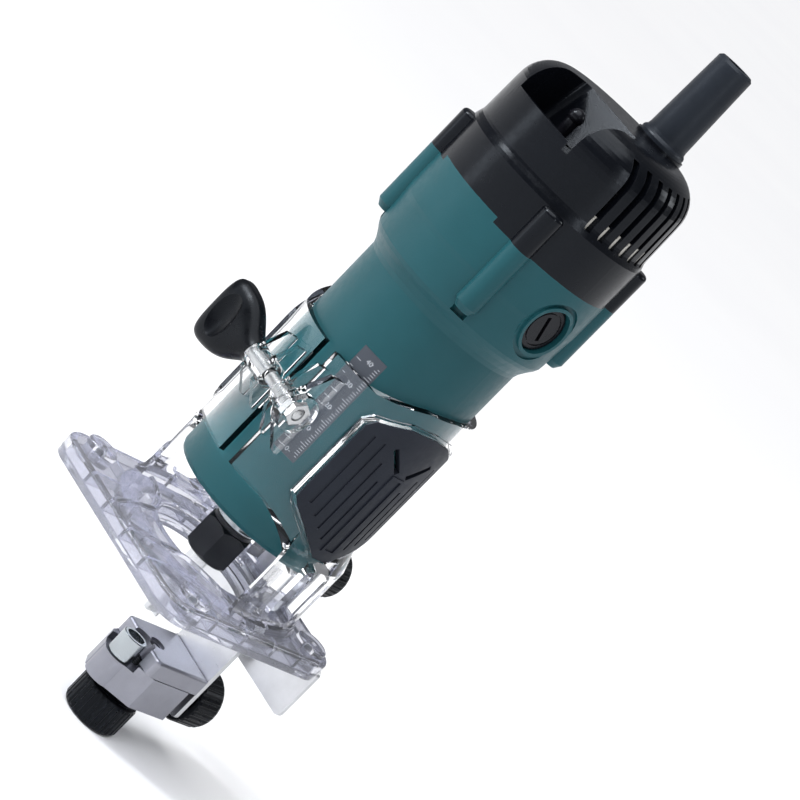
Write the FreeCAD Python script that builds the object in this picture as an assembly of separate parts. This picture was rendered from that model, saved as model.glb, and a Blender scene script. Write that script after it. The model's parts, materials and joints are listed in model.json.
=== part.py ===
import FreeCAD, Part
import os, math
from FreeCAD import Vector as V

os.makedirs("parts", exist_ok=True)

# ------------------------------------------------------------------
# Laminate trimmer (trim router).  Millimetres.
# +Z up along the tool axis, origin on the tool axis in the plane of
# the sole.  -Y is the front (clamp split, switch), +X the right side.
# Azimuths are degrees from the front, positive towards +X.
# ------------------------------------------------------------------

# motor housing
BARREL_R = 32.5          # nominal 65 mm motor barrel
BARREL_RI = 29.7
Z_BARREL0 = 30.5
Z_SHOULDER0 = 126.0
Z_SHOULDER1 = 133.0
UPPER_R = 37.0
UPPER_RI = 34.2
Z_SEAM = 164.0
SEAM_TAB = 2.2           # the front and rear of the seam stand higher
TAB_HALF = 26.0
BOSS_R = 4.5
BOSS_RC = 37.3
Z_BOSS0 = 139.0
Z_BOSS1 = 180.4
Z_BRUSH = 148.0
# top cover
COVER_R = 37.9
Z_COVER_TOP = 213.0
SHOULDER_FILLET = 12.5
Z_BAND = 182.0
# cord guard
GUARD_Y = 21.7
GUARD_R0, GUARD_R1 = 8.1, 7.3
Z_GUARD_TOP = 250.0
CORD_BORE_R = 3.9
# base
SLEEVE_RI = 32.6
SLEEVE_RO = 35.4
PILLAR_RO = 38.3
BASE_X = 45.0
BASE_Y0, BASE_Y1 = -49.0, 41.5
BASE_RC = 11.0
Z_SOLE = 2.6
Z_SKIN = 5.9
Z_FOOT = 8.2
SPLIT_X, SPLIT_W = 4.2, 6.4
CLAMP_Y, CLAMP_Z = -41.0, 75.5
THROAT_R = 21.0
# collet and bit
NUT_AF = 17.0
Z_NUT0, Z_NUT1 = 6.8, 20.4
BIT_R = 3.0
Z_BIT0 = -21.4
# guide
PLATE_Y0, PLATE_Y1 = 41.6, 43.2
ARM_Y0, ARM_Y1 = 36.0, 38.0
SCREW_A_Z = 21.0
BLOCK_X = 12.6
Z_BLK_T, Z_BLK_M, Z_BLK_B = -32.3, -39.2, -53.0
SCREW_B = (0.0, 15.9)
ADJ_Z = -46.0
ROLLER = (0.0, 4.6)
ROLLER_R = 5.0


def save(name, shape):
    shape = shape.removeSplitter() if name not in NO_REFINE else shape
    sol = shape.Solids
    assert sol, name
    bad = [s for s in sol if not s.isValid() or s.Volume <= 0]
    print("%-24s solids %2d  vol %10.2f %s" % (name, len(sol), sum(s.Volume for s in sol), "BAD" if bad else ""))
    out = Part.makeCompound(sol) if len(sol) > 1 else sol[0]
    out.exportStep("parts/%s.step" % name)


NO_REFINE = set()


def cyl(r, z0, z1, x=0.0, y=0.0):
    return Part.makeCylinder(r, z1 - z0, V(x, y, z0), V(0, 0, 1))


def cylx(r, x0, x1, y, z):
    return Part.makeCylinder(r, x1 - x0, V(x0, y, z), V(1, 0, 0))


def cyly(r, y0, y1, x, z):
    return Part.makeCylinder(r, y1 - y0, V(x, y0, z), V(0, 1, 0))


def box(x0, x1, y0, y1, z0, z1):
    return Part.makeBox(x1 - x0, y1 - y0, z1 - z0, V(x0, y0, z0))


def tube(ro, ri, z0, z1):
    return cyl(ro, z0, z1).cut(cyl(ri, z0 - 1, z1 + 1))


def sector(ri, ro, z0, z1, a0, a1):
    w = Part.makeCylinder(ro, z1 - z0, V(0, 0, z0), V(0, 0, 1), a1 - a0)
    w.rotate(V(0, 0, 0), V(0, 0, 1), a0 - 90.0)
    return w.cut(cyl(ri, z0 - 1, z1 + 1)) if ri > 0 else w


def at(a, r, z=0.0):
    t = math.radians(a)
    return V(r * math.sin(t), -r * math.cos(t), z)


def revolve(pts):
    """Closed (r, z) outline turned about Z."""
    vs = [V(r, 0, z) for r, z in pts]
    f = Part.Face(Part.makePolygon(vs + [vs[0]]))
    return f.revolve(V(0, 0, 0), V(0, 0, 1), 360)


def rrect(x0, x1, y0, y1, z0, z1, r):
    b = box(x0, x1, y0, y1, z0, z1)
    es = [e for e in b.Edges if abs(e.Vertexes[0].X - e.Vertexes[1].X) < 1e-6 and abs(e.Vertexes[0].Y - e.Vertexes[1].Y) < 1e-6]
    return b.makeFillet(r, es)


def prism_x(pts, x0, x1):
    """(y, z) outline, extruded along X."""
    vs = [V(x0, y, z) for y, z in pts]
    return Part.Face(Part.makePolygon(vs + [vs[0]])).extrude(V(x1 - x0, 0, 0))


def prism_y(pts, y0, y1):
    """(x, z) outline, extruded along Y."""
    vs = [V(x, y0, z) for x, z in pts]
    return Part.Face(Part.makePolygon(vs + [vs[0]])).extrude(V(0, y1 - y0, 0))


def prism_z(pts, z0, z1):
    vs = [V(x, y, z0) for x, y in pts]
    return Part.Face(Part.makePolygon(vs + [vs[0]])).extrude(V(0, 0, z1 - z0))


def hexa(af, z0, z1, x=0.0, y=0.0, turn=0.0):
    rc = af / 2.0 / math.cos(math.pi / 6)
    pts = [(x + rc * math.cos(math.radians(60 * i + turn)), y + rc * math.sin(math.radians(60 * i + turn))) for i in range(6)]
    return prism_z(pts, z0, z1)


def turn_to_x(shape):
    """Axis Z to axis X."""
    s = shape.copy()
    s.rotate(V(0, 0, 0), V(0, 1, 0), 90)
    return s


def turn_to_y(shape):
    """Axis Z to axis Y (z -> y)."""
    s = shape.copy()
    s.rotate(V(0, 0, 0), V(1, 0, 0), -90)
    return s


def moved(shape, x, y, z):
    s = shape.copy()
    s.translate(V(x, y, z))
    return s


def fil(shape, r, test):
    """Fillet the edges that test() picks; leaves the shape alone if that cannot be done."""
    es = [e for e in shape.Edges if test(e)]
    if not es:
        print("   no edges for a fillet of", r)
        return shape
    try:
        s = shape.makeFillet(r, es)
        if s.isValid() and s.Volume > 0:
            return s
    except Exception as err:
        pass
    print("   fillet of", r, "left out")
    return shape


def edge_at_z(z, tol=1e-3):
    return lambda e: abs(e.BoundBox.ZMin - z) < tol and abs(e.BoundBox.ZMax - z) < tol


def knurled(r, h, n, depth, rim):
    """Knob body about Z from z=0 to h with n rounded grooves."""
    b = revolve([(0, 0), (r - rim, 0), (r - rim * 0.3, rim * 0.3), (r, rim), (r, h - rim), (r - rim * 0.3, h - rim * 0.3), (r - rim, h), (0, h)])
    g = []
    for i in range(n):
        t = 2 * math.pi * i / n
        g.append(Part.makeCylinder(depth * 1.6, h + 2, V((r + depth * 0.9) * math.cos(t), (r + depth * 0.9) * math.sin(t), -1), V(0, 0, 1)))
    return b.cut(Part.makeCompound(g))


# ============================ motor housing ============================
body = revolve([
    (0, Z_BARREL0), (BARREL_R - 2.0, Z_BARREL0), (BARREL_R - 0.6, Z_BARREL0 + 0.6), (BARREL_R, Z_BARREL0 + 2.0),
    (BARREL_R, Z_SHOULDER0), (BARREL_R + 0.7, Z_SHOULDER0 + 2.0), (BARREL_R + 2.2, Z_SHOULDER0 + 4.6), (UPPER_R - 1.0, Z_SHOULDER1 - 0.6),
    (UPPER_R - 0.2, Z_SHOULDER1 + 1.0), (UPPER_R, Z_SHOULDER1 + 3.0), (COVER_R - 0.25, 147.0), (COVER_R, 149.0), (COVER_R, Z_SEAM), (0, Z_SEAM)])
tabs = Part.makeCompound([sector(UPPER_RI, COVER_R, Z_SEAM - 0.5, Z_SEAM + SEAM_TAB, -TAB_HALF, TAB_HALF),
                          sector(UPPER_RI, COVER_R, Z_SEAM - 0.5, Z_SEAM + SEAM_TAB, 180 - TAB_HALF, 180 + TAB_HALF)])
for t in tabs.Solids:
    body = body.fuse(t)
# screw tunnels
for a in (45, 135, -45, -135):
    p = at(a, BOSS_RC)
    b = cyl(BOSS_R, Z_BOSS0, Z_SEAM, p.x, p.y)
    foot = Part.makeCone(2.6, BOSS_R, 3.0, V(p.x, p.y, Z_BOSS0 - 3.0), V(0, 0, 1))
    web = box(-BOSS_R, BOSS_R, -BOSS_RC, -UPPER_RI, Z_BOSS0, Z_SEAM)
    web.rotate(V(0, 0, 0), V(0, 0, 1), a)
    body = body.fuse([b, foot, web])
# brush collars
for s in (1, -1):
    c = cylx(11.6, 20 * s if s > 0 else -37.2, 37.2 if s > 0 else -20, 0, Z_BRUSH)
    body = body.fuse(c)
# hollow inside
cav = revolve([(0, 44.0), (BARREL_RI, 44.0), (BARREL_RI, 128.0), (UPPER_RI, 134.5), (UPPER_RI, Z_SEAM + 5), (0, Z_SEAM + 5)])
body = body.cut(cav)
cav2 = revolve([(17.0, 34.0), (BARREL_RI, 34.0), (BARREL_RI, 45.0), (17.0, 45.0)])
body = body.cut(cav2)
body = body.cut(cyl(14.02, 34.0, 60))
body = body.cut(cyl(9.2, 20, 40))
for a in (0, 120, 240):
    body = body.cut(cyl(0.98, 38.0, 46.0, at(a, 15.6).x, at(a, 15.6).y))
# exhaust slots through the floor round the spindle
for i in range(8):
    a = 22.5 + 45 * i
    sl = box(-2.0, 2.0, -27.0, -20.0, 28, 36)
    sl.rotate(V(0, 0, 0), V(0, 0, 1), a)
    body = body.cut(sl)
# inside of the collars, brush holder bore and cap recess
for s in (1, -1):
    def cx(r, a, b):
        return cylx(r, a, b, 0, Z_BRUSH) if s > 0 else cylx(r, -b, -a, 0, Z_BRUSH)
    body = body.fuse(cx(9.4, 25.0, 35.0).cut(cyl(24.9, 120, 170)))
    body = body.cut(cx(6.6, 10.0, 40.0))
    body = body.cut(cx(9.0, 31.5, 40.0))
    ring = cx(11.9, 36.2, 40.0).cut(cx(10.2, 36.0, 41.0))
    body = body.cut(ring)
# screw holes
for a in (45, 135, -45, -135):
    p = at(a, BOSS_RC)
    body = body.cut(cyl(1.75, Z_BOSS0 - 5, Z_SEAM + 5, p.x, p.y))
    body = body.cut(cyl(3.0, Z_BOSS0 - 5, Z_BOSS0 + 1.2, p.x, p.y))
# scale plate pocket
SC_A0, SC_A1, SC_Z0, SC_Z1 = 20.5, 38.5, 60.0, 105.0
body = body.cut(sector(BARREL_R - 0.35, BARREL_R + 1, SC_Z0 - 0.05, SC_Z1 + 0.05, SC_A0 - 0.1, SC_A1 + 0.1))
# ledge for the bearing bridge
body = body.fuse(tube(UPPER_RI + 0.5, UPPER_RI - 2.0, 156.5, 158.0).cut(box(-40, 40, -20, 20, 150, 165)))
# stops for the stator
for a in (0, 90, 180, 270):
    st = sector(BARREL_RI - 2.2, BARREL_RI + 0.5, 64.0, 69.9, a - 8, a + 8)
    body = body.fuse(st)
save("motor_housing", body)

save("scale_plate", sector(BARREL_R - 0.33, BARREL_R, SC_Z0, SC_Z1, SC_A0, SC_A1))

# ============================ top cover ============================
outer = [(COVER_R, Z_SEAM), (COVER_R, 180.6), (COVER_R - 0.35, Z_BAND), (COVER_R - 0.9, Z_BAND + 1.6), (COVER_R - 1.0, Z_BAND + 2.6), (COVER_R - 1.3, 198.0)]
cz = Z_COVER_TOP - SHOULDER_FILLET
cr = COVER_R - 1.4 - SHOULDER_FILLET
for i in range(0, 13):
    t = math.radians(90.0 * i / 12)
    outer.append((cr + SHOULDER_FILLET * math.cos(t), cz + SHOULDER_FILLET * math.sin(t)))
outer.append((0, Z_COVER_TOP + 0.0))
cov = revolve([(0, Z_SEAM)] + outer)
inner_r = COVER_R - 3.4
inner = [(0, Z_SEAM - 1), (inner_r, Z_SEAM - 1), (inner_r, 198.0), (inner_r - 3.0, 204.0), (inner_r - 9.0, 209.0), (inner_r - 14.0, Z_COVER_TOP - 3.0), (0, Z_COVER_TOP - 3.0)]
incav = revolve(inner)
cov = cov.cut(incav)
for a0 in (0.0, 180.0):
    cov = cov.cut(sector(UPPER_RI - 3, COVER_R + 2, Z_SEAM - 1, Z_SEAM + SEAM_TAB, a0 - TAB_HALF - 0.1, a0 + TAB_HALF + 0.1))
# screw towers
for a in (45, 135, -45, -135):
    p = at(a, BOSS_RC)
    b = cyl(BOSS_R, Z_SEAM, Z_BOSS1, p.x, p.y)
    b = fil(b, 1.6, edge_at_z(Z_BOSS1))
    web = box(-BOSS_R, BOSS_R, -BOSS_RC, -inner_r, Z_SEAM, Z_BOSS1 - 3.0)
    web.rotate(V(0, 0, 0), V(0, 0, 1), a)
    cov = cov.fuse([b, web])
for a in (45, 135, -45, -135):
    p = at(a, BOSS_RC)
    cov = cov.cut(cyl(1.75, Z_SEAM - 1, Z_BOSS1 - 4, p.x, p.y))
# switch pocket: walls and floor stand inside the shell
PX0, PX1 = -15.5, 17.5
POCK_Z = 196.0
pocket_blk = box(PX0 - 2.0, PX1 + 2.0, -37.0, -6.0, POCK_Z - 2.2, Z_COVER_TOP - 1.0)
solid_outer = revolve([(0, Z_SEAM)] + outer)
pocket_blk = pocket_blk.common(solid_outer)
cov = cov.fuse(pocket_blk)
# opening: outline in (y, z) leaves the front lip at z = 199
open1 = prism_x([(-33.2, POCK_Z), (-14.0, POCK_Z), (-8.0, Z_COVER_TOP + 3), (-45.0, Z_COVER_TOP + 3), (-45.0, 199.6), (-33.2, 199.2)], PX0, PX1)
open1 = fil(open1, 3.0, lambda e: abs(e.BoundBox.XMax - e.BoundBox.XMin) < 1e-6 and e.BoundBox.ZMax - e.BoundBox.ZMin > 5)
cov = cov.cut(open1)
# slot for the switch lever, with room for it to rock
LEV_X, LEV_Y = 1.0, -21.5
cov = cov.cut(box(LEV_X - 6.2, LEV_X + 6.2, LEV_Y - 3.4, LEV_Y + 3.4, POCK_Z - 4, POCK_Z + 1))
# vents
VENT_Y = [-17.0 + 5.6 * i for i in range(7)]
for s in (1, -1):
    for y in VENT_Y:
        v = box(22.0, 45.0, y - 1.15, y + 1.15, 182.6, 209.6)
        if s < 0:
            v = box(-45.0, -22.0, y - 1.15, y + 1.15, 182.6, 209.6)
        cov = cov.cut(v)
# seat for the cord guard: a raised collar and a bore
cov = cov.fuse(cyl(9.9, Z_COVER_TOP - 6.0, Z_COVER_TOP + 0.9, 0, GUARD_Y).cut(cyl(7.2, 200, 220, 0, GUARD_Y)))
cov = cov.cut(cyl(7.2, 200, 220, 0, GUARD_Y))
# posts for the cord clamp, reaching down from the roof
POST_X = 12.5
for dx in (-POST_X, POST_X):
    cov = cov.fuse(cyl(2.8, 191.05, Z_COVER_TOP - 0.6, dx, GUARD_Y).common(solid_outer))
cov = cov.cut(cyl(9.6, 200, 207.0, 0, GUARD_Y))
for dx in (-POST_X, POST_X):
    cov = cov.cut(cyl(1.5, 190.0, 200.5, dx, GUARD_Y))
save("top_cover", cov)

# housing screws
sc = []
for a in (45, 135, -45, -135):
    p = at(a, BOSS_RC)
    h = cyl(2.9, Z_BOSS0 - 1.0, Z_BOSS0 + 1.1, p.x, p.y)
    h = h.cut(box(p.x - 2.0, p.x + 2.0, p.y - 0.35, p.y + 0.35, Z_BOSS0 - 2, Z_BOSS0 - 0.1)).cut(box(p.x - 0.35, p.x + 0.35, p.y - 2.0, p.y + 2.0, Z_BOSS0 - 2, Z_BOSS0 - 0.1))
    sc.append(h.fuse(cyl(1.7, Z_BOSS0 + 1.0, Z_BOSS1 - 6, p.x, p.y)))
save("housing_screws", Part.makeCompound(sc))

# cord guard, hollow, with its flange on the cover and its root inside
gz = Z_COVER_TOP + 0.9
g = revolve([(CORD_BORE_R, gz - 9.0), (9.4, gz - 9.0), (9.4, gz - 7.1), (7.1, gz - 7.1), (7.1, gz), (9.2, gz), (9.2, gz + 1.2), (8.9, gz + 1.8), (GUARD_R0 + 0.2, gz + 2.4), (GUARD_R0, gz + 3.6),
             (GUARD_R1, Z_GUARD_TOP - 1.0), (GUARD_R1 - 1.0, Z_GUARD_TOP), (CORD_BORE_R, Z_GUARD_TOP)])
save("cord_guard", moved(g, 0, GUARD_Y, 0))

# ============================ switch and cord clamp ============================
swb = box(LEV_X - 9.0, LEV_X + 9.0, LEV_Y - 8.0, LEV_Y + 8.0, 176.0, POCK_Z - 2.4)
swb = swb.cut(box(LEV_X - 6.4, LEV_X + 6.4, LEV_Y - 3.6, LEV_Y + 3.6, 184.0, POCK_Z))
for dx in (-5.0, 0.0, 5.0):
    swb = swb.fuse(box(LEV_X + dx - 1.2, LEV_X + dx + 1.2, LEV_Y - 0.4, LEV_Y + 0.4, 170.0, 176.5))
swb = swb.cut(cyly(1.05, LEV_Y - 9, LEV_Y + 9, LEV_X, 190.0))
save("switch_body", swb)
lv = box(-3.4, 3.4, -3.1, 3.1, -3.6, 5.4)
lv = fil(lv, 1.2, lambda e: abs(e.BoundBox.ZMin - 5.4) < 1e-3 and abs(e.BoundBox.ZMax - 5.4) < 1e-3)
lv = lv.fuse(Part.makeCone(2.1, 2.5, 10.2, V(0, 0, 5.0), V(0, 0, 1))).fuse(Part.makeSphere(2.95, V(0, 0, 14.6)))
lv = lv.cut(cyly(1.05, -5, 5, 0, 0))
save("switch_lever", moved(lv, LEV_X, LEV_Y, 190.0))
save("switch_pin", cyly(1.0, LEV_Y - 7.6, LEV_Y + 7.6, LEV_X, 190.0))

cc = rrect(-16.0, 16.0, GUARD_Y - 4.6, GUARD_Y + 4.6, 186.0, 191.0, 3.0)
cc = cc.fuse(cyl(6.2, 186.0, 191.0, 0, GUARD_Y)).cut(cyl(3.9, 180, 195, 0, GUARD_Y)).cut(Part.makeCompound([cyl(1.5, 180, 195, dx, GUARD_Y) for dx in (-POST_X, POST_X)]))
save("cord_clamp", cc)
save("cord_clamp_screws", Part.makeCompound([cyl(1.45, 185.0, 198.0, dx, GUARD_Y).fuse(cyl(2.8, 183.8, 185.95, dx, GUARD_Y)) for dx in (-POST_X, POST_X)]))

# ============================ rotor ============================
SH_R = 4.0
shaft = revolve([(0, Z_NUT0 + 8.0), (4.4, Z_NUT0 + 8.0), (6.6, Z_NUT1 - 2.0), (6.6, 22.6), (8.2, 22.6), (8.2, 29.2), (7.6, 29.2), (6.0, 33.0), (6.0, 46.0), (5.0, 46.0), (5.0, 126.0), (SH_R, 126.0), (SH_R, 174.0), (0, 174.0)])
shaft = shaft.cut(cyl(BIT_R + 0.02, 0, 42.0))
shaft = shaft.cut(revolve([(0, 10), (5.2, 10), (5.2, 14.9), (BIT_R, 26.0), (0, 26.0)]).common(cyl(6, 10, 26)))
flats = Part.makeCompound([box(6.9, 10, -10, 10, 23.0, 28.0), box(-10, -6.9, -10, 10, 23.0, 28.0)])
shaft = shaft.cut(flats)
save("armature_shaft", shaft)
core = cyl(16.6, 74.0, 112.0).cut(cyl(5.0, 70, 115))
for i in range(12):
    t = 2 * math.pi * i / 12
    core = core.cut(Part.makeCylinder(1.7, 60, V(13.6 * math.cos(t), 13.6 * math.sin(t), 70), V(0, 0, 1)))
    sl = box(13.0, 18.0, -0.7, 0.7, 70, 120)
    sl.rotate(V(0, 0, 0), V(0, 0, 1), 30 * i)
    core = core.cut(sl)
save("armature_core", core)
wind = Part.makeCompound([tube(14.6, 5.0, 112.1, 120.0), tube(14.6, 5.0, 66.0, 73.9)])
save("armature_windings", wind)
com = tube(10.5, SH_R, 137.0, 157.5).cut(Part.makeCompound([sector(9.4, 11, 139.0, 158, a - 1.5, a + 1.5) for a in range(0, 360, 15)]))
save("commutator", com)
fan = tube(9.0, 5.0, 50.0, 60.0).fuse(tube(27.6, 5.0, 58.6, 60.0))
for i in range(11):
    bl = box(8.0, 27.2, -0.7, 0.7, 50.4, 59.0)
    bl.rotate(V(8, 0, 0), V(0, 0, 1), 24)
    bl.rotate(V(0, 0, 0), V(0, 0, 1), 360.0 * i / 11)
    fan = fan.fuse(bl)
save("cooling_fan", fan)
# collet cone, nut and bit
col = revolve([(BIT_R, 12.4), (4.9, 12.4), (5.1, 14.9), (3.22, 24.4), (BIT_R, 24.4)])
for i in range(4):
    s = box(0.0, 8.0, -0.35, 0.35, 14.0, 26.0)
    s.rotate(V(0, 0, 0), V(0, 0, 1), 90 * i + 45)
    col = col.cut(s)
save("collet_cone", col)
nut = hexa(NUT_AF, Z_NUT0, Z_NUT1, turn=30 + 38)
nut = nut.common(revolve([(0, Z_NUT0), (8.2, Z_NUT0), (9.9, Z_NUT0 + 1.6), (9.9, Z_NUT1 - 1.2), (8.6, Z_NUT1), (0, Z_NUT1)]))
nut = nut.cut(cyl(BIT_R + 0.3, 0, 30)).cut(cyl(6.62, 12.3, 30))
nut = nut.fuse(tube(8.0, 6.62, Z_NUT1 - 0.2, Z_NUT1 + 1.6))
save("collet_nut", nut)
bit = cyl(BIT_R, Z_BIT0 + 26.0, 40.0)
cut_len = 26.0
b2 = cyl(BIT_R, Z_BIT0, Z_BIT0 + cut_len)
for s in (0, 180):
    fl = box(0.55, 6.0, -6.0, 0.25, Z_BIT0 - 1, Z_BIT0 + cut_len - 5.0)
    fl.rotate(V(0, 0, 0), V(0, 0, 1), s)
    b2 = b2.cut(fl)
bit = bit.fuse(b2)
save("router_bit", bit)

# bearings: lower 12x28x8, upper 8x22x7
def bearing(name, ri, ro, z0, z1, n):
    mid = (ri + ro) / 2
    gap = (ro - ri) * 0.17
    br = (ro - ri) * 0.235
    zc = (z0 + z1) / 2
    torus = Part.makeTorus(mid, br + 0.02, V(0, 0, zc), V(0, 0, 1))
    outer_race = tube(ro, mid + gap, z0, z1).cut(torus)
    inner_race = tube(mid - gap, ri, z0, z1).cut(torus)
    balls = [Part.makeSphere(br, V(mid * math.cos(2 * math.pi * i / n), mid * math.sin(2 * math.pi * i / n), zc)) for i in range(n)]
    save(name + "_outer_race", outer_race)
    save(name + "_inner_race", inner_race)
    save(name + "_balls", Part.makeCompound(balls))


bearing("lower_bearing", 6.0, 14.0, 34.2, 42.2, 8)
bearing("upper_bearing", SH_R, 11.0, 163.0, 170.0, 7)
# lower bearing retainer with its screws, above the bearing
ret = tube(17.0, 9.0, 44.03, 45.6).fuse(tube(13.9, 11.4, 42.23, 44.2))
for a in (0, 120, 240):
    p = at(a, 15.6)
    ret = ret.cut(cyl(1.0, 40, 50, p.x, p.y))
save("bearing_retainer", ret)
save("retainer_screws", Part.makeCompound([cyl(0.95, 39.0, 45.7, at(a, 15.6).x, at(a, 15.6).y).fuse(cyl(1.35, 45.65, 46.8, at(a, 15.6).x, at(a, 15.6).y)) for a in (0, 120, 240)]))
# bridge that carries the upper bearing
br = box(-8.0, 8.0, -33.8, 33.8, 158.05, 161.6).common(cyl(33.9, 150, 170))
br = br.fuse(cyl(14.0, 158.05, 170.6)).cut(cyl(11.0, 161.9, 175)).cut(cyl(6.5, 150, 175))
br = br.cut(tube(40, 33.0, 150, 200).cut(box(-20, 20, -40, 40, 150, 200)))
save("bearing_bridge", br)

# ============================ stator ============================
st = tube(29.6, 17.4, 70.0, 114.0)
for a in (90, 270):
    s = sector(17.0, 24.5, 69, 115, a - 34, a + 34)
    st = st.cut(s)
save("stator_core", st)
coils = []
for a in (90, 270):
    coils.append(sector(18.0, 24.2, 64.5, 119.5, a - 32, a + 32).cut(sector(0, 30, 70.5, 113.5, a - 12, a + 12)))
save("field_coils", Part.makeCompound(coils))
bf = tube(29.6, 18.0, 62.2, 63.6)
save("fan_baffle", bf)

# ============================ brushes ============================
hold_l, spr_l = [], []
for nm, s in (("right", 1), ("left", -1)):
    def X(shape):
        if s > 0:
            return shape
        return shape.mirror(V(0, 0, 0), V(1, 0, 0))
    hold = cylx(6.55, 14.0, 31.3, 0, Z_BRUSH).cut(box(13, 32, -2.6, 2.6, Z_BRUSH - 3.6, Z_BRUSH + 3.6))
    hold_l.append(X(hold))
    save("carbon_brush_" + nm, X(box(10.6, 21.0, -2.5, 2.5, Z_BRUSH - 3.5, Z_BRUSH + 3.5)))
    # coil spring between brush and cap
    helix = Part.makeHelix(1.7, 9.35, 2.0)
    wire_sec = Part.Wire([Part.makeCircle(0.28, V(2.0, 0, 0), V(0, 1, 0))])
    coil = Part.Wire(helix.Edges).makePipeShell([wire_sec], True, True)
    coil = turn_to_x(coil)
    spr_l.append(X(moved(coil, 21.4, 0, Z_BRUSH)))
    cap = cylx(6.5, 32.3, 34.0, 0, Z_BRUSH).fuse(cylx(8.7, 33.2, 35.6, 0, Z_BRUSH))
    cap = cap.fuse(cylx(6.5, 31.4, 34.0, 0, Z_BRUSH))
    cap = fil(cap, 0.7, lambda e: abs(e.BoundBox.XMin - 35.6) < 1e-3 and abs(e.BoundBox.XMax - 35.6) < 1e-3)
    cap = cap.cut(cylx(6.9, 35.2, 36, 0, Z_BRUSH).cut(cylx(6.3, 35.0, 36.2, 0, Z_BRUSH)))
    slot = box(34.2, 36.5, -0.8, 0.8, Z_BRUSH - 4.9, Z_BRUSH + 4.9)
    slot.rotate(V(0, 0, Z_BRUSH), V(1, 0, 0), 20)
    cap = cap.cut(slot)
    save("brush_cap_" + nm, X(cap))
save("brush_holders", Part.makeCompound(hold_l))
save("brush_springs", Part.makeCompound(spr_l))

# ============================ clear base ============================
def sleeve_top():
    """Cutter above the sloping rim: (y, z) outline across X."""
    return prism_x([(-50, 96.5), (-25.3, 96.5), (-9.0, 102.7), (4.0, 104.4), (50, 104.4), (50, 140), (-50, 140)], -50, 50)


slv = cyl(SLEEVE_RO, Z_FOOT - 1.0, 108.0)
pil = Part.makeCompound([sector(0, PILLAR_RO + 3.0, Z_FOOT - 1.0, 46.0, 68, 128), sector(0, PILLAR_RO + 3.0, Z_FOOT - 1.0, 46.0, -128, -68)])
# pillars lean into the sleeve
cone = revolve([(0, 0), (PILLAR_RO + 2.4, 0), (PILLAR_RO + 2.4, Z_FOOT), (PILLAR_RO + 1.3, 9.6), (PILLAR_RO + 0.4, 12.0), (PILLAR_RO, 15.0), (PILLAR_RO, 36.0), (SLEEVE_RO, 44.5), (0, 44.5)])
for p_ in pil.Solids:
    slv = slv.fuse(p_.common(cone))
# swelling frame round each grip
GRIP = [(-22.6, 53.5), (-20.5, 51.0), (-3.4, 39.2), (3.4, 39.2), (20.5, 51.0), (22.6, 53.5), (22.6, 87.0), (21.0, 90.0), (10.5, 95.2), (0, 96.4), (-10.5, 95.2), (-21.0, 90.0), (-22.6, 87.0)]


def grow(pts, d):
    """Offset of the grip outline, outwards by d."""
    w = Part.makePolygon([V(0, y, z) for y, z in pts] + [V(0, pts[0][0], pts[0][1])])
    return w.makeOffset2D(d, 2)


def grip_prism(d, x0, x1):
    w = Part.makePolygon([V(0, y, z) for y, z in GRIP] + [V(0, GRIP[0][0], GRIP[0][1])])
    if abs(d) > 1e-9:
        w = w.makeOffset2D(d, 2)
    f = Part.Face(w)
    e = f.extrude(V(x1 - x0, 0, 0))
    e.translate(V(x0, 0, 0))
    return e


for s in (1, -1):
    x0, x1 = (20.0, 45.0) if s > 0 else (-45.0, -20.0)
    fr = grip_prism(1.7, x0, x1).common(cyl(36.2, 30, 110))
    slv = slv.fuse(fr)
slv = slv.cut(sleeve_top())
# foot plate: skin on top, walls and ribs beneath it
foot = rrect(-BASE_X, BASE_X, BASE_Y0, BASE_Y1, Z_SOLE, Z_FOOT, BASE_RC)
foot = fil(foot, 1.6, edge_at_z(Z_FOOT))
hollow = rrect(-BASE_X + 2.6, BASE_X - 2.6, BASE_Y0 + 2.6, BASE_Y1 - 2.6, Z_SOLE - 1, Z_SKIN, BASE_RC - 2.6)
ring_wall = cyl(PILLAR_RO + 1.2, Z_SOLE, Z_SKIN + 0.1).cut(cyl(SLEEVE_RI - 1.4, Z_SOLE - 1, Z_SKIN + 1))
throat = cyl(THROAT_R + 4.6, Z_SOLE, Z_SKIN + 0.1).cut(cyl(THROAT_R + 2.2, Z_SOLE - 1, Z_SKIN + 1))
CORN = [(37.0, -34.0), (-37.0, -34.0), (36.0, 31.5), (-36.0, 31.5)]
inner_area = rrect(-BASE_X + 2.5, BASE_X - 2.5, BASE_Y0 + 2.5, BASE_Y1 - 2.5, Z_SOLE, Z_SKIN + 0.1, BASE_RC - 2.5)
ribs = [ring_wall.common(inner_area), throat]
for x, y in CORN:
    ribs.append(cyl(5.6, Z_SOLE, Z_SKIN + 0.1, x, y))
for x in (-21.0, -7.0, 7.0, 21.0):
    ribs.append(box(x - 0.8, x + 0.8, BASE_Y0 + 2.0, -21.0, Z_SOLE, Z_SKIN + 0.1).cut(cyl(THROAT_R + 3.4, 0, 10)))
for y in (-25.0, -8.0, 8.0, 22.0):
    for s in (1, -1):
        r_ = box(24.5, BASE_X - 2.0, y - 0.8, y + 0.8, Z_SOLE, Z_SKIN + 0.1)
        if s < 0:
            r_ = box(-BASE_X + 2.0, -24.5, y - 0.8, y + 0.8, Z_SOLE, Z_SKIN + 0.1)
        ribs.append(r_)
for x in (-14.0, 14.0):
    ribs.append(box(x - 0.8, x + 0.8, 20.0, BASE_Y1 - 2.0, Z_SOLE, Z_SKIN + 0.1))
foot = foot.cut(hollow)
for r_ in ribs:
    foot = foot.fuse(r_)
foot = foot.cut(cyl(THROAT_R + 2.2, 0, 12))
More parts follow.
